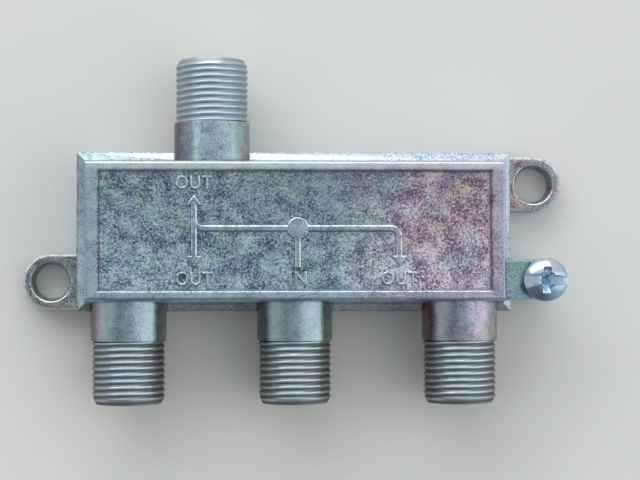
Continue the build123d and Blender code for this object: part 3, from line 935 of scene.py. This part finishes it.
class ThreadTree(GeometryTree):
    """Closed sleeve along Z from the origin: a helical thread outside and a plain bore inside."""

    rows_per_turn = 10.0
    ridge = (0.06, 0.80)    # share of the half pitch where the flank starts and where it ends
    tip_slope = 0.55
    bore_shade = 0.3

    def __init__(self) -> None:
        """Builds the tree: a sheared grid rolled round the axis, its ends held and welded."""
        super().__init__("thread_sleeve", {
            "Radius": 4.6 * MM, "Depth": 0.4 * MM, "Pitch": 0.8 * MM, "Length": 8 * MM,
            "Bore": 3.1 * MM, "Tip Chamfer": 0.5 * MM, "Nicks": 0.06 * MM, "Seed": 1.0,
            "Columns": 72})
        given = self.given
        turns = self.math("CEIL", given["Length"] / given["Pitch"])
        rows = (turns + 1.0) * self.rows_per_turn + 4.0
        columns = given["Columns"] + 1.0
        grid = self.get("GeometryNodeMeshGrid", "Mesh", Size_X=rows - 1.0, Size_Y=columns - 1.0,
                        Vertices_X=rows, Vertices_Y=columns)
        x, y, _ = self.parts(self.position)
        row = self.from_middle(x, rows)
        around = self.from_middle(y, columns) / given["Columns"]
        run = (row - 1.0) / self.rows_per_turn - 1.0
        height = (run + around) * given["Pitch"]
        held = self.math("MAXIMUM", self.math("MINIMUM", height, given["Length"]), 0.0)
        phase = self.math("FRACT", run + 0.5 / self.rows_per_turn * 0.001)
        from_root = abs(phase * 2.0 - 1.0)
        raised = self.span(from_root, *self.ridge) * given["Depth"]
        radius = self.ends_held(given["Radius"] - given["Depth"] + raised, height, held)
        last_rows = row > rows - 2.5
        inside = self.math("MAXIMUM", row < 0.5, last_rows)
        at_end = last_rows * (row < rows - 1.5)
        radius = self.chosen(inside, given["Bore"], radius)
        held = self.chosen(inside, at_end * given["Length"], held)
        angle = around * math.tau
        across, along = self.math("COSINE", angle), self.math("SINE", angle)
        nicked = self.nicks(across, along, held) * given["Nicks"]
        radius = radius - self.chosen(inside, 0.0, nicked)
        stored = self.get("GeometryNodeStoreNamedAttribute", 0,
                          {"data_type": "FLOAT", "domain": "POINT"}, Geometry=grid, Name="crest",
                          Value=self.chosen(inside, self.bore_shade, from_root))
        shape = self.moved(stored, self.point(radius * across, radius * along, held))
        self.finish(self.get("GeometryNodeMergeByDistance", 0, Geometry=shape, Distance=WELD))

    def nicks(self, across: Flow, along: Flow, height: Flow) -> Flow:
        """Depth of the small dents from use, from 0 to 1, the same all round the seam."""
        size = self.given["Radius"] / MM
        dents = self.get("ShaderNodeTexNoise", 0, {"noise_dimensions": "4D"},
                         Vector=self.point(across * size, along * size, height / MM),
                         W=self.given["Seed"], Scale=1.3, Detail=3.0, Roughness=0.6)
        return self.span(dents, 0.52, 0.72)

    def from_middle(self, value: Flow, count: Flow) -> Flow:
        """Number of a grid line from its place, counted from 0."""
        return self.math("ROUND", value + (count - 1.0) / 2.0)

    def chosen(self, test: Flow, yes: Value, no: Value) -> Flow:
        """One of two numbers by a test of 0 or 1."""
        return self.get("GeometryNodeSwitch", 0, {"input_type": "FLOAT"}, Switch=test, True_=yes,
                        False_=no)

    def ends_held(self, radius: Flow, height: Flow, held: Flow) -> Flow:
        """Radius with the tip's chamfer, and with one ring at each end.

        Args:
            radius: radius of the thread.
            height: place along the axis before it is held within the length.
            held: the same, held.

        Returns:
            The radius to use.
        """
        given = self.given
        tip = given["Radius"] - given["Tip Chamfer"]
        sloped = tip + (given["Length"] - held) * self.tip_slope
        radius = self.math("MINIMUM", radius, sloped)
        radius = self.chosen(height < TINY, given["Radius"] - given["Depth"], radius)
        return self.chosen(height > given["Length"] - TINY, tip, radius)


class FlashTree(GeometryTree):
    """Thin broken ridge along the edges that go in, as metal leaves where the die halves meet."""

    def __init__(self) -> None:
        """Builds the tree: a flat four-sided profile swept with a random width."""
        super().__init__("flash_ridge", {
            "Width": 0.1 * MM, "Flatness": 0.5, "Step": 0.2 * MM, "Seed": 3, "Height": 0.0})
        given = self.given
        curve = self.get("GeometryNodeResampleCurve", 0, {"mode": "LENGTH"}, Curve=self.curve(),
                         Length=given["Step"])
        scaled = self.get("ShaderNodeVectorMath", 0, {"operation": "SCALE"}, in0=self.position,
                          Scale=1 / MM)
        drift = self.get("ShaderNodeTexNoise", 0, {"noise_dimensions": "4D"}, Vector=scaled,
                         W=given["Seed"], Scale=0.9, Detail=5.0, Roughness=0.75)
        width = self.span(drift, 0.36, 0.68, 0.15, 1.0) * given["Width"]
        curve = self.get("GeometryNodeSetCurveRadius", 0, Curve=curve, Radius=width)
        ridge = self.swept(curve, 4, 1.0, self.get("GeometryNodeInputRadius", 0))
        x, y, z = self.parts(self.position)
        flat = given["Height"] + (z - given["Height"]) * given["Flatness"]
        self.finish(self.moved(ridge, self.point(x, y, flat)))


class RaisedLineTree(GeometryTree):
    """Half-sunk band with a flat top along the edges that go in, for the raised diagram."""

    steepness = 1.12

    def __init__(self) -> None:
        """Builds the tree: a round profile swept along rounded corners, its top pressed flat."""
        super().__init__("raised_line", {
            "Width": 0.7 * MM, "Rise": 0.3 * MM, "Corner": 0.8 * MM, "Height": 0.0})
        given = self.given
        curve = self.get("GeometryNodeFilletCurve", 0, {"mode": "POLY"}, Curve=self.curve(),
                         Count=6, Radius=given["Corner"])
        band = self.swept(curve, 28, given["Width"] / 2.0)
        x, y, z = self.parts(self.position)
        share = given["Rise"] * (2.0 * self.steepness) / given["Width"]
        capped = self.math("MINIMUM", (z - given["Height"]) * share, given["Rise"])
        self.finish(self.moved(band, self.point(x, y, given["Height"] + capped)))


@dataclass
class Casting:
    """The zinc casting: the box with its ears and lug, its threaded ports and its flash."""

    ports: list[Port]
    metal: bpy.types.Material
    thread_metal: bpy.types.Material
    pitch: float = 25.4 * MM / 32
    thread_depth: float = 0.22 * MM
    thread_columns: int = 72
    bore: float = 3.1 * MM
    tip_chamfer: float = 0.5 * MM
    nicks: float = 0.07 * MM
    overlap: float = 0.04 * MM
    edge: float = 0.11 * MM
    sharp: float = 28.0
    panel_half_length: float = 24.7 * MM
    panel_half_width: float = 7.35 * MM
    panel_top: float = 12.55 * MM
    panel_edge: float = 0.26 * MM
    rim_bottom: float = 12.4 * MM
    rim_inner: float = 0.4 * MM
    face_height: float = 13.0 * MM
    near: float = 0.1 * MM
    hole_place: tuple[float, float] = (31.6 * MM, 6.35 * MM)
    hole_reach: float = 2.8 * MM
    hole_edge: float = 0.24 * MM
    ear_height: float = 2.8 * MM
    ear_zone_top: float = 3.0 * MM
    box_half_width: float = 10.15 * MM
    box_half_length: float = 27.8 * MM
    flash_width: float = 0.08 * MM
    flash_flatness: float = 0.5
    flash_step: float = 0.2 * MM
    level: float = 0.95
    sloped: float = 0.25

    def build(self) -> None:
        """Builds the whole casting as one piece that stands for the CAD housing."""
        body = self.body()
        threads = [self.thread(port) for port in self.ports]
        piece = Build.joined("housing_casting", [body, *threads, self.flash()])
        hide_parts("housing")
        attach(piece, CASTING)
        log.info("casting: %d faces", len(piece.data.polygons))

    def body(self) -> bpy.types.Object:
        """The CAD housing cut off at each thread, with soft edges and its grain painted on."""
        bm = Build.merged_copy("housing")
        for side in Side:
            self.cut(bm, side)
        self.round_edges(bm, self.on_panel_edge, self.panel_edge)
        self.round_edges(bm, self.on_hole_edge, self.hole_edge)
        mesh = bpy.data.meshes.new("housing_body")
        bm.to_mesh(mesh)
        bm.free()
        piece = Build.piece("housing_body", mesh, self.metal)
        Build.soft_edges(piece, self.edge, self.sharp)
        Build.shade(piece, degrees=40)
        Build.grained(piece, self.zone)
        return piece

    def cut(self, bm: bmesh.types.BMesh, side: Side) -> None:
        """Takes the barrels off one side of the casting and closes the cuts.

        Args:
            bm: the welded housing.
            side: the side to cut.
        """
        away = Vector((0, side.value, 0))
        ports = [port for port in self.ports if port.side is side]
        rim = Build.section(bm, away * (ports[0].thread_start - self.overlap), away, clear=True)
        for port in ports:
            near = [e for e in rim if abs(e.verts[0].co.x - port.x) < 2 * port.radius]
            bmesh.ops.bridge_loops(bm, edges=near)

    def round_edges(self, bm: bmesh.types.BMesh, wanted: Callable[[Vector], bool],
                    offset: float) -> None:
        """Rounds some edges more than the others.

        Args:
            bm: the welded housing.
            wanted: whether a corner belongs to an edge to round.
            offset: how far the rounding reaches.
        """
        edges = [e for e in bm.edges if all(wanted(v.co) for v in e.verts)
                 and e.is_manifold and e.calc_face_angle() > math.radians(self.sharp)]
        bmesh.ops.bevel(bm, geom=edges, offset=offset, segments=4, profile=0.5, affect="EDGES",
                        clamp_overlap=True)
        log.info("rounded %d edges by %s", len(edges), wanted.__name__)

    def on_panel_edge(self, corner: Vector) -> bool:
        """Whether a corner lies on the rim's inner edge round the panel."""
        return (corner.z > self.face_height - self.near
                and abs(corner.x) < self.panel_half_length + self.rim_inner
                and abs(corner.y) < self.panel_half_width + self.rim_inner)

    def on_hole_edge(self, corner: Vector) -> bool:
        """Whether a corner lies on the upper edge of an ear's hole."""
        away = math.hypot(abs(corner.x) - self.hole_place[0], abs(corner.y) - self.hole_place[1])
        return away < self.hole_reach and abs(corner.z - self.ear_height) < self.near

    def zone(self, face: bpy.types.MeshPolygon) -> Zone:
        """Kind of surface that a face belongs to."""
        x, y, z = (abs(c) for c in face.center)
        flat = face.normal.z > self.level
        if flat and x < self.panel_half_length and y < self.panel_half_width and z < self.panel_top:
            return Zone.PANEL
        if z > self.rim_bottom:
            inner = x < self.panel_half_length + 4 * self.edge
            if inner and abs(face.normal.x) > self.sloped:
                return Zone.INNER_SIDE
            return Zone.LUG if x > self.box_half_length else Zone.RIM
        if z < self.ear_zone_top and x > self.box_half_length - self.near:
            return Zone.RUBBED if self.sloped < face.normal.z < self.level else Zone.EAR
        return Zone.COLLAR if y > self.box_half_width + self.near / 2 else Zone.SKIN

    def thread(self, port: Port) -> bpy.types.Object:
        """One port's thread as a closed sleeve."""
        piece = Build.path(port.name + "_thread", [], [])
        ThreadTree().run(
            piece, self.thread_metal, Radius=port.radius, Depth=self.thread_depth,
            Pitch=self.pitch, Length=port.length + self.overlap, Bore=self.bore,
            Tip_Chamfer=self.tip_chamfer, Nicks=self.nicks,
            Seed=float(self.ports.index(port)), Columns=self.thread_columns)
        piece.data.transform(port.placed() @ Matrix.Translation((0, 0, -self.overlap)))
        Build.shade(piece, degrees=120)
        return piece

    def flash(self) -> bpy.types.Object:
        """Flash along the outline where the two halves of the die meet."""
        height = self.ports[0].height
        bm = Build.merged_copy("housing")
        Build.section(bm, Vector((0, 0, height)), Vector((0, 0, 1)))
        # In the mesh's own order, because the order of a set changes from run to run
        keep = [e for e in bm.edges if self.on_outline(e)
                and all(abs(v.co.z - height) < TINY for v in e.verts)]
        corners = list(dict.fromkeys(v for e in keep for v in e.verts))
        order = {v: i for i, v in enumerate(corners)}
        edges = [tuple(order[v] for v in e.verts) for e in keep]
        piece = Build.path("housing_flash", [v.co for v in corners], edges)
        bm.free()
        FlashTree().run(piece, self.metal, Width=self.flash_width, Flatness=self.flash_flatness,
                        Step=self.flash_step, Seed=3, Height=height)
        Build.grained(piece, lambda face: Zone.RUBBED)
        Build.shade(piece, degrees=50)
        return piece

    def on_outline(self, edge: bmesh.types.BMEdge) -> bool:
        """Whether an edge of the section lies on the box's outline, off the ports and the lug."""
        middle = (edge.verts[0].co + edge.verts[1].co) / 2
        return (abs(abs(middle.y) - self.box_half_width) < self.near / 2
                or abs(abs(middle.x) - self.box_half_length) < self.near / 2)


@dataclass(frozen=True)
class Mark:
    """A raised generic word beside a port."""

    word: str
    x: float
    y: float


@dataclass
class PanelRelief:
    """Raised marks on the front panel: a word at each port and a plain diagram of the branches."""

    metal: bpy.types.Material
    floor: float = 12.5 * MM
    rise: float = 0.32 * MM
    letter_height: float = 1.85 * MM
    letter_width: float = 1.55 * MM
    line_width: float = 0.9 * MM
    line_corner: float = 1.1 * MM
    step: float = 0.004 * MM
    in_x: float = 0.25 * MM
    left_x: float = -12.7 * MM
    right_x: float = 12.95 * MM
    bar_y: float = 0.3 * MM
    far_y: float = 4.6 * MM
    arrow_length: float = 1.5 * MM
    arrow_width: float = 2.1 * MM
    arrow_taper: float = 0.14 * MM
    hub_radius: float = 1.45 * MM
    hub_taper: float = 0.1 * MM
    hub_sides: int = 48
    mesa_edge: float = 0.16 * MM
    level: float = 0.96
    foot: float = 0.45
    marks: tuple[Mark, ...] = (
        Mark("OUT", -12.75 * MM, 6.0 * MM), Mark("OUT", -12.7 * MM, -6.0 * MM),
        Mark("IN", 0.25 * MM, -6.0 * MM), Mark("OUT", 12.95 * MM, -6.0 * MM))

    def build(self) -> None:
        """Builds the marks and the diagram as one piece."""
        words = [self.word(mark) for mark in self.marks]
        pieces = words + self.lines() + self.arrows() + [self.hub()]
        for piece in pieces:
            Build.grained(piece, self.zone)
        piece = Build.joined("panel_relief", pieces)
        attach(piece, CASTING)
        log.info("panel relief: %d faces", len(piece.data.polygons))

    def zone(self, face: bpy.types.MeshPolygon) -> Zone:
        """Kind of surface of a mark's face: foot in painted shade, rubbed and lit shoulder or flat
        top.
        """
        if face.normal.z > self.level:
            return Zone.MARK
        return Zone.RUBBED if face.center.z > self.floor + self.foot * self.rise else Zone.FOOT

    def word(self, mark: Mark) -> bpy.types.Object:
        """One raised word with rounded edges.

        Args:
            mark: the word and its middle on the panel.

        Returns:
            The word's mesh in place.
        """
        curve = bpy.data.curves.new("mark", "FONT")
        settings = {"body": mark.word, "size": 1.0, "align_x": "CENTER", "resolution_u": 5,
                    "offset": -0.03, "extrude": 0.01, "bevel_depth": 0.075,
                    "bevel_resolution": 4, "space_character": 1.12}
        for name, value in settings.items():
            setattr(curve, name, value)
        source = bpy.data.objects.new("mark", curve)
        bpy.context.scene.collection.objects.link(source)
        mesh = Build.evaluated(source)
        bpy.data.objects.remove(source)
        low, high = (Vector([end(v.co[i] for v in mesh.vertices) for i in range(3)])
                     for end in (min, max))
        width = self.letter_width * (len(mark.word) if len(mark.word) > 2 else 1.5)
        size = Vector((width / (high.x - low.x), self.letter_height / (high.y - low.y),
                       2 * self.rise / (high.z - low.z)))
        place = Matrix.Translation((mark.x, mark.y, self.floor))
        mesh.transform(place @ Matrix.Diagonal((*size, 1)) @ Matrix.Translation(-(low + high) / 2))
        piece = Build.piece("mark_" + mark.word.lower(), mesh, self.metal)
        Build.shade(piece, degrees=45)
        return piece

    def lines(self) -> list[bpy.types.Object]:
        """The diagram's lines: a bar that ends at two outputs, one to the third, the input's."""
        end = self.far_y - self.arrow_length / 2
        routes = [
            [(self.left_x, end), (self.left_x, self.bar_y), (self.right_x, self.bar_y),
             (self.right_x, -end)],
            [(self.left_x, -end), (self.left_x, end / 2)],
            [(self.in_x, -self.far_y), (self.in_x, self.bar_y)],
        ]
        pieces = []
        for i, route in enumerate(routes):
            piece = Build.path(f"diagram_line_{i}", [(x, y, self.floor) for x, y in route],
                               [(j, j + 1) for j in range(len(route) - 1)])
            RaisedLineTree().run(piece, self.metal, Width=self.line_width,
                                 Rise=self.rise - i * self.step, Corner=self.line_corner,
                                 Height=self.floor)
            Build.shade(piece, degrees=28)
            pieces.append(piece)
        return pieces

    def mesa(self, name: str, outline: list[tuple[float, float]], rise: float,
             taper: float) -> bpy.types.Object:
        """Flat-topped raised form with sloping sides.

        Args:
            name: its name.
            outline: its foot on the panel.
            rise: its height over the panel.
            taper: how far its sides lean in.

        Returns:
            The piece.
        """
        corners = [Vector((x, y, 0)) for x, y in outline]
        middle = sum(corners, Vector()) / len(corners)
        reach = max((corner - middle).length for corner in corners)
        rings = [[middle + (corner - middle) * share + Vector((0, 0, self.floor + height))
                  for corner in corners]
                 for share, height in ((1 + taper / reach, -rise), (1 - taper / reach, rise))]
        piece = Build.solid(name, rings, self.metal)
        Build.soft_edges(piece, self.mesa_edge, degrees=20, segments=4)
        Build.shade(piece, degrees=28)
        return piece

    def arrows(self) -> list[bpy.types.Object]:
        """An arrowhead at the end of each output's line."""
        half = self.arrow_width / 2
        pieces = []
        for x, way in ((self.left_x, 1), (self.left_x, -1), (self.right_x, -1)):
            base = way * (self.far_y - self.arrow_length)
            outline = [(x - way * half, base), (x + way * half, base), (x, way * self.far_y)]
            pieces.append(self.mesa("diagram_arrow", outline, self.rise + self.step,
                                    self.arrow_taper))
        return pieces

    def hub(self) -> bpy.types.Object:
        """The disc where the lines part."""
        turns = [math.tau * i / self.hub_sides for i in range(self.hub_sides)]
        outline = [(self.in_x + self.hub_radius * math.cos(turn),
                    self.bar_y + self.hub_radius * math.sin(turn)) for turn in turns]
        return self.mesa("diagram_hub", outline, self.rise + 2 * self.step, self.hub_taper)


@dataclass
class GroundScrew:
    """The lug's screw: a domed head with a slot and a cross recess, and a threaded shank."""

    head_metal: bpy.types.Material
    thread_metal: bpy.types.Material
    turn: float = -2.0
    seat: float = 12.45 * MM
    head_radius: float = 2.75 * MM
    head_height: float = 2.0 * MM
    side_height: float = 0.85 * MM
    seat_edge: float = 0.08 * MM
    crown_radius: float = 0.05 * MM
    slot_width: float = 1.38 * MM
    slot_floor: float = 0.98 * MM
    slot_depth: float = 1.22 * MM
    cross_length: float = 4.2 * MM
    cross_width: float = 1.12 * MM
    cross_depth: float = 1.2 * MM
    cross_taper: tuple[float, float] = (0.36, 0.72)
    pit_depth: float = 1.8 * MM
    pit_radius: float = 1.22 * MM
    pit_wall: float = 0.8 * MM
    pit_tip: float = 0.08 * MM
    pit_taper: float = 0.97
    pit_sides: int = 8
    over: float = 0.05 * MM
    pitch: float = 0.5 * MM
    thread_depth: float = 0.28 * MM
    thread_columns: int = 36
    bore: float = 0.02 * MM
    tip_chamfer: float = 0.35 * MM
    nicks: float = 0.02 * MM
    shank_radius: float = 1.5 * MM
    edge: float = 0.06 * MM
    sharp: float = 24.0
    segments: int = 96
    dome_steps: int = 10

    def build(self) -> None:
        """Builds the screw as one piece that stands for the CAD screw."""
        low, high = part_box("ground_screw")
        middle = (low + high) / 2
        seat = Matrix.Translation((middle.x, middle.y, self.seat))
        head, shank = self.head(), self.shank(self.seat - low.z)
        head.data.transform(seat @ Matrix.Rotation(math.radians(self.turn), 4, "Z"))
        shank.data.transform(seat @ Matrix.Rotation(math.pi, 4, "X"))
        piece = Build.joined("ground_screw_detailed", [head, shank])
        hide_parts("ground_screw")
        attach(piece, SCREW)
        log.info("ground screw: %d faces", len(piece.data.polygons))

    @staticmethod
    def ring(radius: float, height: float, sides: int) -> list[Vector]:
        """Points of a ring about the screw's axis."""
        return [Vector((radius * math.cos(math.tau * i / sides),
                        radius * math.sin(math.tau * i / sides), height)) for i in range(sides)]

    def head(self) -> bpy.types.Object:
        """The domed head over its seat at the origin, with its recesses cut and its edges soft."""
        rise = self.head_height - self.side_height
        dome = (self.head_radius ** 2 + rise ** 2) / (2 * rise)
        widest = math.asin(self.head_radius / dome)
        profile = [(self.head_radius - self.seat_edge, 0.0), (self.head_radius, self.seat_edge)]
        for i in range(self.dome_steps):
            angle = widest * (1 - i / self.dome_steps)
            drop = dome * (1 - math.cos(angle))
            profile.append((dome * math.sin(angle), self.head_height - drop))
        profile.append((self.crown_radius, self.head_height))
        rings = [self.ring(radius, height, self.segments) for radius, height in profile]
        piece = Build.solid("screw_head", rings, self.head_metal)
        cutters = self.cutters()
        for cutter in cutters:
            cut = piece.modifiers.new("recess", "BOOLEAN")
            cut.operation = "DIFFERENCE"
            cut.solver = "EXACT"
            cut.object = cutter
        Build.settled(piece)
        for cutter in cutters:
            bpy.data.objects.remove(cutter)
        Build.soft_edges(piece, self.edge, self.sharp, segments=3)
        Build.shade(piece, self.sharp)
        return piece

    def cutters(self) -> list[bpy.types.Object]:
        """Cutters of the slot across the head, of the cross recess's two arms and of its pit."""
        length = 3 * self.head_radius
        arm = (self.cross_length, self.cross_width)
        arm_floor = tuple(size * share for size, share in zip(arm, self.cross_taper))
        slot = self.wedge((length, self.slot_width), (length, self.slot_floor), self.slot_depth)
        arms = [self.wedge(arm, arm_floor, self.cross_depth, turned) for turned in (False, True)]
        pit = [self.ring(radius, height, self.pit_sides) for radius, height in (
            (self.pit_tip, self.head_height - self.pit_depth),
            (self.pit_radius * self.pit_taper, self.head_height - self.pit_wall),
            (self.pit_radius, self.head_height + self.over))]
        return [slot, *arms, Build.solid("cutter", pit, self.head_metal)]

    def wedge(self, top: tuple[float, float], bottom: tuple[float, float], depth: float,
              turned: bool = False) -> bpy.types.Object:
        """Cutter with straight sloping sides.

        Args:
            top: its length and width at the top of the head.
            bottom: its length and width at its depth.
            depth: how far it goes into the head.
            turned: whether it lies along Y.

        Returns:
            The cutter.
        """
        rings = []
        for (length, width), height in ((bottom, self.head_height - depth),
                                        (top, self.head_height + self.over)):
            ring = [Vector((x * length / 2, y * width / 2, height))
                    for x, y in ((-1, -1), (1, -1), (1, 1), (-1, 1))]
            rings.append([Vector((-p.y, p.x, p.z)) for p in ring] if turned else ring)
        return Build.solid("cutter", rings, self.head_metal)

    def shank(self, length: float) -> bpy.types.Object:
        """The threaded shank, along Z from the origin."""
        piece = Build.path("screw_shank", [], [])
        ThreadTree().run(
            piece, self.thread_metal, Radius=self.shank_radius, Depth=self.thread_depth,
            Pitch=self.pitch, Length=length, Bore=self.bore, Tip_Chamfer=self.tip_chamfer,
            Nicks=self.nicks, Seed=7.0, Columns=self.thread_columns)
        Build.shade(piece, degrees=120)
        return piece


@dataclass
class CarriedNodes:
    """CAD nodes whose shape is right, and that only get a finish."""

    finishes: tuple[tuple[str, Finish], ...]

    def build(self) -> None:
        """Assigns a finish to every carried-over node by a part of its name."""
        materials = {key: finish.material() for key, finish in self.finishes}
        for name, node in frame["nodes"].items():
            key = next((k for k in materials if k in name), None)
            if key is not None:
                node.data.materials.clear()
                node.data.materials.append(materials[key])
                log.info("finish of %s: %s", name, materials[key].name)


@dataclass(frozen=True)
class Lamp:
    """A soft area lamp that points at the object: place and size in metres, power in watts."""

    name: str
    place: tuple[float, float, float]
    width: float
    height: float
    power: float
    colour: Colour


@dataclass
class Studio:
    """Camera, floor and light round the object."""

    camera_place: tuple[float, float, float] = (-5.52 * MM, -5.85 * MM, 210.99 * MM)
    camera_turn: tuple[float, float, float] = (1.350, -2.459, -0.090)
    lens: float = 89.48
    sensor: float = 36.0
    nearest: float = 5 * MM
    floor_half: float = 1.5
    floor_gap: float = 0.01 * MM
    floor_colour: Colour = (0.80, 0.79, 0.77)
    sky_colour: Colour = (0.92, 0.97, 0.99)
    sky: Span = (-0.75, 0.25, 0.15, 0.82)
    window_way: tuple[float, float, float] = (0.6, 0.8, 0.0)
    lamps: tuple[Lamp, ...] = (
        Lamp("window", (-0.20, 0.68, 0.47), 1.15, 0.36, 3.3, (0.98, 1.0, 0.99)),
        Lamp("right_side", (0.62, -0.05, 0.44), 0.75, 0.95, 1.0, (0.98, 1.0, 0.90)),
        Lamp("left_side", (-0.66, -0.15, 0.34), 0.40, 0.80, 0.5, (0.93, 1.0, 0.96)))

    def build(self) -> None:
        """Builds everything that isn't part of the object."""
        self.camera()
        self.floor()
        self.world()
        for lamp in self.lamps:
            self.light(lamp)
        log.info("studio built")

    def camera(self) -> None:
        """The photograph's camera."""
        data = bpy.data.cameras.new("camera")
        data.lens = self.lens
        data.sensor_width = self.sensor
        data.clip_start = self.nearest
        camera = bpy.data.objects.new("camera", data)
        camera.location = self.camera_place
        camera.rotation_euler = [math.radians(angle) for angle in self.camera_turn]
        bpy.context.scene.collection.objects.link(camera)
        bpy.context.scene.camera = camera

    def floor(self) -> None:
        """Plain pale floor just under the back plane."""
        mesh = bpy.data.meshes.new("floor")
        h = self.floor_half
        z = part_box("housing")[0].z - self.floor_gap
        mesh.from_pydata([(-h, -h, z), (h, -h, z), (h, h, z), (-h, h, z)], [], [(0, 1, 2, 3)])
        s = Shader("floor_pale")
        tone = s.ramp(s.noise(0.02, 2), (0.3, tuple(0.98 * c for c in self.floor_colour)),
                      (0.7, self.floor_colour))
        paint = s.dress(Base_Color=tone, Roughness=0.7, Specular_IOR_Level=0.2)
        floor = Build.piece("floor", mesh, paint)

    def world(self) -> None:
        """Soft pale surroundings, brighter towards the window's side."""
        world = bpy.data.worlds.new("studio")
        world.use_nodes = True
        nodes = Nodes(world.node_tree)
        background = world.node_tree.nodes["Background"]
        towards = nodes.dot(nodes.get("ShaderNodeTexCoord", "Generated"), self.window_way)
        nodes.fill(background.inputs["Color"], self.sky_colour)
        nodes.fill(background.inputs["Strength"], nodes.span(towards, *self.sky))
        bpy.context.scene.world = world

    def light(self, lamp: Lamp) -> None:
        """Places one lamp."""
        data = bpy.data.lights.new(lamp.name, "AREA")
        data.shape = "RECTANGLE"
        data.size, data.size_y = lamp.width, lamp.height
        data.energy = lamp.power
        data.color = lamp.colour
        light = bpy.data.objects.new(lamp.name, data)
        light.location = lamp.place
        light.rotation_euler = (-Vector(lamp.place)).to_track_quat("-Z", "Y").to_euler()
        bpy.context.scene.collection.objects.link(light)


def main() -> None:
    """Builds the splitter's looks and the studio, and logs what it builds."""
    logging.basicConfig(level=logging.INFO, format="%(name)s: %(message)s")
    bpy.context.scene.view_settings.view_transform = "Standard"
    finishes = Finishes()
    metal = finishes.casting.material()
    Studio().build()
    Casting(ports_of(frame["record"]), metal, finishes.port_thread.material()).build()
    PanelRelief(metal).build()
    GroundScrew(finishes.screw.material(), finishes.screw_thread.material()).build()
    CarriedNodes(finishes.carried).build()


if __name__ == "__main__":
    main()
